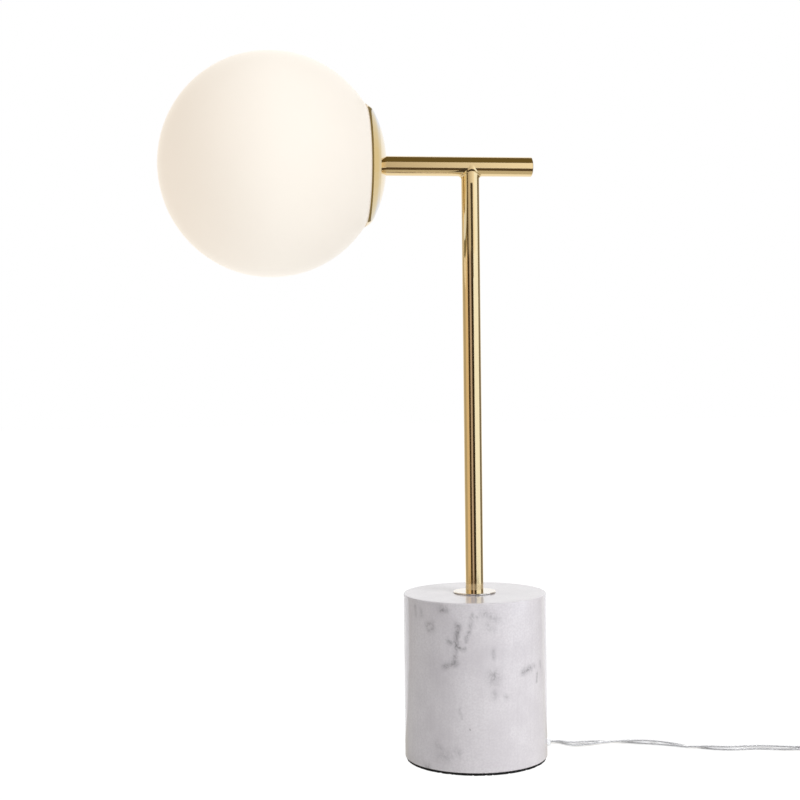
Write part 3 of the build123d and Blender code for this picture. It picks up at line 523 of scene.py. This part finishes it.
# Veins and spots: degrees round the drum from its front (-Y), height in mm, at both ends,
# then the half width in mm and the strength.
veins = [
    ((-38, 145.5), (-34.5, 145), 2.2, 0.55),
    ((-51.5, 131.5), (-47, 132), 2.0, 0.36),
    ((-51.5, 129), (-50, 126.5), 1.9, 0.34),
    ((-49, 126), (-46.5, 127), 2.0, 0.40),
    ((-46, 131), (-45.8, 129), 1.6, 0.30),
    ((-66, 145), (-65, 138), 1.6, 0.25),
    ((-58.5, 143), (-58, 137), 1.6, 0.22),
    ((-25, 131), (-26, 114), 1.9, 0.70),
    ((-26, 114), (-27.5, 99), 1.4, 0.55),
    ((-26, 113.5), (-20, 111), 1.3, 0.60),
    ((-27, 99), (-36, 95.5), 1.8, 0.50),
    ((-32, 118.5), (-30, 117), 1.8, 0.42),
    ((-13.5, 141.5), (-15.8, 127.5), 1.1, 0.38),
    ((-15.8, 127.5), (-18, 117.5), 1.2, 0.48),
    ((-10.5, 139.5), (-9.5, 139), 1.0, 0.32),
    ((-3, 142.5), (4.5, 138), 3.2, 0.30),
    ((0, 133), (2, 130), 3.0, 0.24),
    ((3.2, 110), (3.2, 104), 1.6, 0.26),
    ((3.4, 88.5), (3.8, 84), 3.6, 0.42),
    ((3.3, 72.5), (3.6, 68), 2.2, 0.24),
    ((13, 68.6), (13.6, 68.2), 1.4, 0.26),
    ((29, 88.5), (38, 90), 1.9, 0.52),
    ((36.2, 89.4), (37.2, 89.6), 1.0, 0.55),
    ((41.5, 92.5), (42.5, 91), 1.3, 0.35),
    ((51.5, 93), (52.3, 90), 1.2, 0.34),
    ((46.1, 84), (46.2, 77), 0.9, 0.50),
    ((-16.3, 41.3), (-16.2, 41.1), 0.5, 0.75),
    ((-43, 24), (-41, 23), 2.8, 0.26),
    ((-40, 16), (-34, 16), 4.0, 0.24),
    ((-27, 21), (-25, 20), 2.2, 0.22),
    ((-23.5, 58), (-22.5, 50), 1.0, 0.20),
    ((-54, 4), (-52, 3.5), 2.0, 0.40),
]
farVeins = {
    "seed": 11, "count": 16, "sector": (75, 275), "heights": (12, 142), "drop": (8, 30), "lean": 14,
    "widths": (0.9, 3.2), "strengths": (0.2, 0.6),
}


def moreVeins(spread):
    # The sides that the front doesn't show get veins of the same kind.
    draw = random.Random(spread["seed"])
    added = []
    for index in range(spread["count"]):
        angle = draw.uniform(*spread["sector"])
        height = draw.uniform(*spread["heights"])
        lean = draw.uniform(-spread["lean"], spread["lean"])
        end = (angle + lean, max(spread["heights"][0], height - draw.uniform(*spread["drop"])))
        width, strength = draw.uniform(*spread["widths"]), draw.uniform(*spread["strengths"])
        added.append(((angle, height), end, width, strength))
    return added


def vectored(tree, operation, one, two):
    # What a vector math node makes of two places.
    return addNode(tree, "ShaderNodeVectorMath", {0: one, 1: two}, operation=operation).outputs


def scaled(tree, place, share):
    return addNode(tree, "ShaderNodeVectorMath", {0: place, "Scale": share}, operation="SCALE").outputs[0]


def veinShade(tree, flat, radius, strokes, look):
    # The strongest stroke at each place on the unrolled drum.
    shade = None
    for (startAngle, startHeight), (endAngle, endHeight), width, strength in strokes:
        start = Vector((math.radians(startAngle) * radius, startHeight, 0)) * mm
        along = Vector((math.radians(endAngle) * radius, endHeight, 0)) * mm - start
        offset = vectored(tree, "SUBTRACT", flat, start)[0]
        share = vectored(tree, "DOT_PRODUCT", offset, along / along.length_squared)["Value"]
        share = addNode(tree, "ShaderNodeClamp", {"Value": share}).outputs[0]
        away = vectored(tree, "DISTANCE", offset, scaled(tree, along, share))["Value"]
        stroke = ranged(tree, away, 1, 0, 0, look["feather"] * width * mm)
        stroke = reckoned(tree, "MULTIPLY", reckoned(tree, "POWER", stroke, look["fall"]), strength)
        shade = stroke if shade is None else reckoned(tree, "MAXIMUM", shade, stroke)
    return shade


def unrolled(tree, place, radius):
    # Way round the drum and height, with the seam away from the front: angles from -90 to 270.
    split = addNode(tree, "ShaderNodeSeparateXYZ", {0: place}).outputs
    angle = reckoned(tree, "ARCTAN2", split["X"], reckoned(tree, "MULTIPLY", split["Y"], -1.0))
    behind = reckoned(tree, "LESS_THAN", angle, -math.pi / 2)
    angle = reckoned(tree, "MULTIPLY_ADD", behind, 2 * math.pi, angle)
    wayRound = reckoned(tree, "MULTIPLY", angle, radius * mm)
    return addNode(tree, "ShaderNodeCombineXYZ", {"X": wayRound, "Y": split["Z"]}).outputs[0]


def makeMarble(look, radius):
    tree, shader, place = startFinish("marble")
    flat = unrolled(tree, place, radius)
    for size, reach in look["warps"]:
        wander = noiseOf(tree, place, size, 3.0)["Color"]
        centred = vectored(tree, "SUBTRACT", wander, (0.5, 0.5, 0.5))[0]
        flat = vectored(tree, "ADD", flat, scaled(tree, centred, reach * mm))[0]
    shade = veinShade(tree, flat, radius, veins + moreVeins(farVeins), look)
    # Fine cracks inside the veins: the ridges of a noise.
    ridge = noiseOf(tree, place, look["crackSize"], 5.0, look["crackTwist"])["Fac"]
    ridge = reckoned(tree, "ABSOLUTE", reckoned(tree, "SUBTRACT", ridge, 0.5))
    dark = ranged(tree, ridge, *look["cracks"], 0.0, look["crackWidth"])
    shade = reckoned(tree, "MULTIPLY", shade, dark, use_clamp=True)
    body = look["colour"]
    upright = vectored(tree, "MULTIPLY", place, look["upright"])[0]
    for spots, where in ((look["clouds"], place), (look["grit"], place), (look["streaks"], upright)):
        noise = grainOf(tree, where, spots["size"], spots["detail"])
        share = ranged(tree, noise, 0.0, spots["haze"], spots["from"], spots["to"])
        body = blended(tree, share, body, look["haze"])
    tree.links.new(blended(tree, shade, body, look["vein"]), shader.inputs["Base Color"])
    blurred(tree, shader, grainOf(tree, place, look["roughSize"]), look["rough"])
    shader.inputs["Coat Weight"].default_value = look["coat"]
    shader.inputs["Coat Roughness"].default_value = look["coatRough"]
    relieved(tree, shader, grainOf(tree, place, look["grain"]), look["relief"])


def dress(node, finish):
    parts[node].data.materials.clear()
    parts[node].data.materials.append(made[finish])


for slot, look in finishes.items():
    makeFinish(slot, look)
makeClear("clear_plastic", clearPlastic)
makeClear("lead_jacket", clearJacket)
makeOpal(opal)
makeMarble(marble, drumRadius)
for entry in frame["record"]["subparts"]:
    dress(entry["node"], entry["material_slot"])
dress("base_flange", "pale_brass")
print("finishes are on", len(made))


# ---- shaping helpers ----
def meshOf(name, rings, loop=False):
    # Skin through closed rings of equal count; a ring of one point shuts the form there.
    points, firsts = [], []
    for ring in rings:
        firsts.append(len(points))
        points += ring
    pairs = list(zip(range(len(rings)), range(1, len(rings))))
    if loop:
        pairs.append((len(rings) - 1, 0))
    faces = []
    for one, two in pairs:
        count = max(len(rings[one]), len(rings[two]))
        for index in range(count):
            after = (index + 1) % count
            low = [firsts[one] + index % len(rings[one]), firsts[one] + after % len(rings[one])]
            high = [firsts[two] + after % len(rings[two]), firsts[two] + index % len(rings[two])]
            corners = list(dict.fromkeys(low + high))
            if len(corners) > 2:
                faces.append(corners)
    mesh = bpy.data.meshes.new(name)
    mesh.from_pydata([Vector(point) * mm for point in points], [], faces)
    mesh.validate()
    return mesh


def shut(rings):
    # The same rings with one more at each end, a point in the middle of the last one.
    ends = [[sum(map(Vector, ring), Vector()) / len(ring)] for ring in (rings[0], rings[-1])]
    return [ends[0], *rings, ends[1]]


def fullTurn(count):
    return [2 * math.pi * index / count for index in range(count)]


def smoothed(mesh, angle):
    for face in mesh.polygons:
        face.use_smooth = True
    mesh.set_sharp_from_angle(angle=math.radians(angle))
    return mesh


def rounded(line, turn, step):
    # A line of (along, out) points with each corner between its ends turned into an arc.
    points = [Vector(point) for point in line]
    result = [tuple(points[0])]
    for before, corner, after in zip(points, points[1:], points[2:]):
        legIn, legOut = (before - corner).normalized(), (after - corner).normalized()
        opening = legIn.angle(legOut)
        back = turn / math.tan(opening / 2)
        start = corner + legIn * back
        end = corner + legOut * back
        centre = corner + (legIn + legOut).normalized() * (turn / math.sin(opening / 2))
        steps = max(2, math.ceil(math.degrees(math.pi - opening) / step))
        first = start - centre
        sweep = first.angle_signed(end - centre)
        for index in range(steps + 1):
            result.append(tuple(centre + Matrix.Rotation(-sweep * index / steps, 2) @ first))
    return [*result, tuple(points[-1])]


def arcPoints(centre, radius, start, end, steps):
    # (along, out) points on a circle about (centre, 0), angles in degrees from the +along side.
    angles = [math.radians(start + (end - start) * index / steps) for index in range(steps + 1)]
    return [(centre + radius * math.cos(angle), radius * math.sin(angle)) for angle in angles]


def turned(outline, segments):
    # Rings of an outline turned about the arm's axis, with one point for a place on the axis.
    rings = []
    for along, out in outline:
        angles = fullTurn(segments) if out > 0 else [0.0]
        rings.append([(along, out * math.cos(a), armHeight + out * math.sin(a)) for a in angles])
    return rings


def placed(name, mesh, slot, body="lamp", stands=(), angle=35):
    piece = addObject(name, smoothed(mesh, angle))
    mesh.materials.append(made[slot])
    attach(piece, body)
    if stands:
        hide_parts(*stands)
    return piece


# ---- plug ----
plug = {
    "entry": (328.0, -145.0),                # where the lead goes in; the blades point to -X
    "width": 25.0, "height": 13.0, "length": 28.0, "corner": 3.0,
    # Along the block from the blades' side: share of its width and height there.
    "sections": [
        (0.0, 0.93, 0.90), (0.5, 0.975, 0.96), (1.4, 1.0, 1.0), (7.0, 1.0, 1.0), (9.0, 0.93, 1.0),
        (14.0, 0.84, 1.0), (19.0, 0.86, 1.0), (23.0, 0.95, 1.0), (25.5, 0.98, 1.0), (27.2, 0.95, 0.97),
        (28.0, 0.86, 0.90),
    ],
    # The ribbed neck between block and lead, with its size at both ends.
    "neck": 10.0, "root": (15.5, 10.4), "mouth": (9.0, 8.0), "ribs": 4, "ribDepth": 0.75, "perRib": 8,
}


def roundedSection(x, y, z, width, height, corner, steps=6, leastFlat=0.1):
    corner = min(corner, (width - leastFlat) / 2, (height - leastFlat) / 2)
    points = []
    for quarter, (sideY, sideZ) in enumerate(((1, 1), (-1, 1), (-1, -1), (1, -1))):
        for step in range(steps + 1):
            angle = math.pi / 2 * (quarter + step / steps)
            across = sideY * (width / 2 - corner) + corner * math.cos(angle)
            up = sideZ * (height / 2 - corner) + corner * math.sin(angle)
            points.append((x, y + across, z + up))
    return points


def makePlug(look):
    right, y = look["entry"]
    z = look["height"] / 2
    start = right - look["neck"] - look["length"]
    rings = []
    for along, wide, high in look["sections"]:
        width, height = look["width"] * wide, look["height"] * high
        rings.append(roundedSection(start + along, y, z, width, height, look["corner"]))
    count = look["ribs"] * look["perRib"]
    for index in range(1, count + 1):
        share = index / count
        shrink = look["ribDepth"] * (0.5 - 0.5 * math.cos(2 * math.pi * look["ribs"] * share))
        width, height = (
            root * (1 - share) + mouth * share - shrink for root, mouth in zip(look["root"], look["mouth"])
        )
        x = right - look["neck"] * (1 - share)
        rings.append(roundedSection(x, y, z, width, height, look["corner"]))
    mesh = meshOf("plug_moulded", shut(rings))
    return placed("plug_moulded", mesh, "plug_shell", "lamp", ["plug_body"], angle=40)


plugPiece = makePlug(plug)
print("the plug is moulded")


# ---- the free lead ----
lead = {
    "width": 5.6,
    "strand": 2.8,
    "core": 1.6,
    "sides": 14,
    # Half twists of the pair by the distance along it in mm; it lies level at whole ones.
    "twist": [(-8, 0.0), (61, 1.0), (137, 2.0), (162, 2.42), (212, 2.58), (262, 3.0)],
    "afterwards": 72.0,                          # half a twist from there on
    "settle": 0.3,                               # height within which a level pair comes down to the table
    "exit": (69.5, 0.0, 10.5),
    "toSwitch": [
        (77.0, 0.0, 10.5), (88.0, -1.5, 8.0), (102.0, 4.0, 6.3), (121.0, 13.5, 4.5),
        (145.0, 16.5, 3.1), (170.0, 9.0, 2.8), (192.0, -2.0, 2.8), (211.0, -17.5, 2.8),
        (232.0, -26.5, 2.8), (256.0, -26.0, 2.8), (277.0, -31.8, 2.8), (297.0, -40.5, 3.3),
        (309.0, -42.0, 5.5), (320.0, -42.0, 5.5),
    ],
    "switchOut": (364.0, -42.0, 5.5),
    "toCoil": [
        (377.0, -42.0, 5.5), (393.0, -48.5, 4.3), (405.5, -61.0, 3.1), (412.0, -77.0, 2.8),
        (412.0, -94.0, 2.8),
    ],
    "toPlug": [(364.0, -142.0, 8.9), (351.0, -142.0, 8.9), (338.0, -145.0, 6.5), (328.0, -145.0, 6.5)],
}
coil = {"centre": (370.0, -100.0), "radius": 42.0, "pitch": 6.1, "turns": 3, "perHalfTurn": 8}


def coilPoints(wound, low):
    # Half turns about two centres: in on the lower layer, up where it reverses, out on the upper one.
    x, y = wound["centre"]
    shrink = wound["pitch"] / 2
    step = math.pi / wound["perHalfTurn"]
    reach = 1 / math.cos(step / 2)     # points stand out this far, so that the spline runs on the circle
    points = []

    def halfTurn(edge, radius, side, z, climb=0.0, count=wound["perHalfTurn"]):
        middle = edge - side * radius
        for index in range(count):
            angle = (index + 0.5) * step
            across = side * radius * reach * math.cos(angle)
            along = side * radius * reach * math.sin(angle)
            points.append((middle + across, y - along, z + climb * angle / math.pi))
        return middle - side * radius

    edge = x + wound["radius"]
    inner = wound["radius"] - 2 * wound["turns"] * shrink
    for index in range(2 * wound["turns"]):
        edge = halfTurn(edge, wound["radius"] - index * shrink, (-1) ** index, low)
    edge = halfTurn(edge, inner, 1, low, climb=wound["pitch"])
    high = low + wound["pitch"]
    for index in range(1, 2 * wound["turns"]):
        edge = halfTurn(edge, inner + index * shrink, (-1) ** index, high)
    halfTurn(edge, wound["radius"], 1, high, count=wound["perHalfTurn"] // 2)
    return points


def routeOf(name, points):
    # The points that Blender gives for one smooth NURBS line with these control points.
    curve = bpy.data.curves.new(name, "CURVE")
    curve.dimensions = "3D"
    curve.resolution_u = 10
    spline = curve.splines.new("NURBS")
    spline.points.add(len(points) - 1)
    for point, place in zip(spline.points, points):
        point.co = (*(value * mm for value in place), 1)
    spline.order_u = 3
    spline.use_endpoint_u = True
    holder = bpy.data.objects.new(name, curve)
    line = bpy.data.meshes.new_from_object(holder)
    route = [vertex.co.copy() for vertex in line.vertices]
    bpy.data.objects.remove(holder)
    bpy.data.curves.remove(curve)
    bpy.data.meshes.remove(line)
    return route


def twistAt(distance):
    # Angle of the pair about its line.
    turns = lead["twist"]
    for (start, low), (end, high) in zip(turns, turns[1:]):
        if distance < end:
            return math.pi * (low + (high - low) * (distance - start) / (end - start))
    last, high = turns[-1]
    return math.pi * (high + (distance - last) / lead["afterwards"])


def joined(name, meshes):
    # Several meshes as one.
    points, faces = [], []
    for mesh in meshes:
        first = len(points)
        points += [vertex.co.copy() for vertex in mesh.vertices]
        faces += [[first + corner for corner in face.vertices] for face in mesh.polygons]
        bpy.data.meshes.remove(mesh)
    whole = bpy.data.meshes.new(name)
    whole.from_pydata(points, [], faces)
    return whole


def twinLead(name, route, covers, start=0.0):
    # Two clear strands round the route, each with a bright core; they settle on the table where level.
    half = lead["strand"] / 2 * mm
    settle = lead["settle"] * mm
    tubes = {name: (half, [[], []]), name + "_cores": (lead["core"] / 2 * mm, [[], []])}
    distance = start
    for index, point in enumerate(route):
        before, after = route[max(0, index - 1)], route[min(len(route) - 1, index + 1)]
        if index:
            distance += (point - before).length / mm
        ahead = (after - before).normalized()
        aside = ahead.cross(Vector((0, 0, 1))).normalized()
        upward = aside.cross(ahead)
        angle = twistAt(distance)
        onTable = min(1.0, max(0.0, (lead["width"] / 2 * mm + settle - point.z) / settle))
        drop = Vector((0, 0, -half * (1 - abs(math.sin(angle))) * onTable))
        spokes = [aside * math.cos(turn) + upward * math.sin(turn) for turn in fullTurn(lead["sides"])]
        for strand, side in enumerate((1, -1)):
            middle = point + drop + (aside * math.cos(angle) + upward * math.sin(angle)) * half * side
            for radius, strands in tubes.values():
                strands[strand].append([(middle + spoke * radius) / mm for spoke in spokes])
    jacketMesh, coreMesh = (
        joined(tube, [meshOf(tube, shut(rings)) for rings in strands])
        for tube, (radius, strands) in tubes.items()
    )
    jacket = placed(name, jacketMesh, "lead_jacket", stands=covers)
    cores = placed(name + "_cores", coreMesh, "lead_jacket")
    cores.data.materials[0] = made["tinned_wire"]
    return jacket, cores


def lengthOf(route):
    return sum((one - two).length for one, two in zip(route, route[1:]))


toSwitch = routeOf("toSwitchRoute", [lead["exit"], *lead["toSwitch"]])
coiled = coilPoints(coil, lead["width"] / 2)
toPlug = routeOf("toPlugRoute", [lead["switchOut"], *lead["toCoil"], *coiled, *lead["toPlug"]])
print("lead", round(lengthOf(toSwitch), 4), round(lengthOf(toPlug), 4))
leadA, coresA = twinLead("lead_to_switch", toSwitch, ["cord_lead"])
leadB, coresB = twinLead("lead_to_plug", toPlug, ["cord_link", "cord_coil", "cord_tail"], start=330.0)
print("the lead lies on the table")


# ---- glass globe ----
globe = {
    "centre": -181.0, "radius": 100.0, "wall": 2.4, "opening": 36.0, "lip": 0.7, "lipStep": 20.0,
    "segments": 192, "steps": 90,
}


def makeGlobe(ball):
    inner = ball["radius"] - ball["wall"]
    edge = math.sqrt(inner**2 - ball["opening"] ** 2)
    outerAngle = math.degrees(math.acos(edge / ball["radius"]))
    innerAngle = math.degrees(math.asin(ball["opening"] / inner))
    outside = arcPoints(ball["centre"], ball["radius"], 180, outerAngle, ball["steps"])
    inside = arcPoints(ball["centre"], inner, innerAngle, 180, ball["steps"])
    lip = rounded(outside[-2:] + inside[:2], ball["lip"], ball["lipStep"])
    outline = outside[:-2] + lip + inside[2:]
    outline[0] = (outline[0][0], 0.0)       # both ends lie on the axis
    outline[-1] = (outline[-1][0], 0.0)
    mesh = meshOf("globe_glass_ball", turned(outline, ball["segments"]))
    placed("globe_glass_ball", mesh, "opal_glass", "globe", ["globe_glass"])


makeGlobe(globe)
print("the globe is blown")


# ---- foam pad under the marble ----
pad = {
    "radius": 64.2, "height": 2.5, "segments": 360,
    # The cut edge wanders with so many waves, each of so many periods round the pad.
    "wander": 0.35, "waves": 7, "periods": (5, 60), "seed": 5,
    # Places where the foam is nicked: degrees round the drum from its front, half width, depth in mm.
    "nicks": [
        (-41.5, 0.9, 1.6), (-33.0, 1.3, 1.2), (-29.5, 0.6, 1.8), (-14.0, 0.5, 1.5), (-3.5, 0.8, 1.7),
        (2.0, 0.5, 1.4), (16.0, 0.6, 1.3), (33.0, 0.7, 1.6), (49.0, 0.6, 1.2), (96.0, 1.0, 1.5),
        (141.0, 0.7, 1.4), (188.0, 1.1, 1.6), (236.0, 0.8, 1.3), (281.0, 0.6, 1.7),
    ],
    # Height on the edge, and how far it is drawn in there.
    "edge": [(0.0, 0.45), (0.25, 0.10), (1.25, 0.0), (2.25, 0.10), (2.5, 0.45)],
}


def makePad(look):
    draw = random.Random(look["seed"])
    waves = []
    for wave in range(look["waves"]):
        waves.append((draw.randint(*look["periods"]), draw.uniform(0, 2 * math.pi)))
    edge = []
    for index in range(look["segments"]):
        angle = 360.0 * index / look["segments"] - 90.0
        wave = sum(math.sin(math.radians(angle) * count + shift) for count, shift in waves) / len(waves)
        radius = look["radius"] - look["wander"] * (1 + wave)
        for middle, half, depth in look["nicks"]:
            away = abs((angle - middle + 180.0) % 360.0 - 180.0)
            radius -= depth * max(0.0, 1 - (away / half) ** 2)
        edge.append((radius, math.radians(angle)))
    rings = [[(0, 0, 0)]]
    for height, inset in look["edge"]:
        rings.append([((r - inset) * math.sin(a), -(r - inset) * math.cos(a), height) for r, a in edge])
    rings.append([(0, 0, look["height"])])
    placed("foam_pad_nicked", meshOf("foam_pad_nicked", rings), "foam_pad", "lamp", ["base_pad"], angle=50)


makePad(pad)
print("the pad is cut")


# ---- rolled thread on the bulb's metal base ----
bulbThread = {
    "radius": 13.2, "depth": 0.65, "pitch": 3.63, "segments": 72, "perPitch": 10,
    "wall": 0.35, "taper": 3.0,                  # the taper is the cone at the contact's end
    # A plain rim at the glass, then how far the thread takes to deepen and to run out.
    "plain": 2.6, "fadeIn": 2.0, "fadeOut": 1.5,
    # The cone's shoulder and lip, outside and inside: how far before its end, then the shoulder's
    # step in from the radius, or the lip's step out from the insulator.
    "shoulder": ((1.35, 0.7), (1.56, 1.05)),
    "lip": ((0.3, 0.9), (0.65, 0.6)),
}


def makeBulbBase(thread):
    low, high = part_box("bulb_screw_base")
    left, right = low[0] / mm, high[0] / mm
    low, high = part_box("bulb_insulator")
    foot = (high[2] - low[2]) / 2 / mm
    span = right - thread["taper"] - left
    count = math.ceil(span / thread["pitch"] * thread["perPitch"])
    turns = fullTurn(thread["segments"])

    def ring(x, radius, depth=0.0):
        # The thread's groove goes once round for each pitch.
        points = []
        for turn in turns:
            phase = 2 * math.pi * (x - left) / thread["pitch"] - turn
            out = radius - depth * (0.5 - 0.5 * math.cos(phase))
            points.append((x, out * math.cos(turn), armHeight + out * math.sin(turn)))
        return points

    def cone(side, wall):
        # From the shoulder over the lip to the insulator.
        (shoulder, stepIn), (lip, stepOut) = thread["shoulder"][side], thread["lip"][side]
        corners = [(shoulder, thread["radius"] - stepIn), (lip, foot + stepOut), (wall, foot)]
        return [ring(right - back, radius) for back, radius in corners]

    outside, inside = [], []
    for index in range(count + 1):
        x = left + span * index / count
        fadeIn = min(1.0, max(0.0, (x - left - thread["plain"]) / thread["fadeIn"]))
        depth = thread["depth"] * fadeIn * min(1.0, (left + span - x) / thread["fadeOut"])
        outside.append(ring(x, thread["radius"], depth))
        inside.append(ring(x, thread["radius"] - thread["wall"], depth))
    rings = outside + cone(0, 0.0) + (inside + cone(1, thread["wall"]))[::-1]
    mesh = meshOf("bulb_threaded_base", rings, loop=True)
    placed("bulb_threaded_base", mesh, "bulb_metal", "bulb", ["bulb_screw_base"])


makeBulbBase(bulbThread)
print("the bulb has its thread")
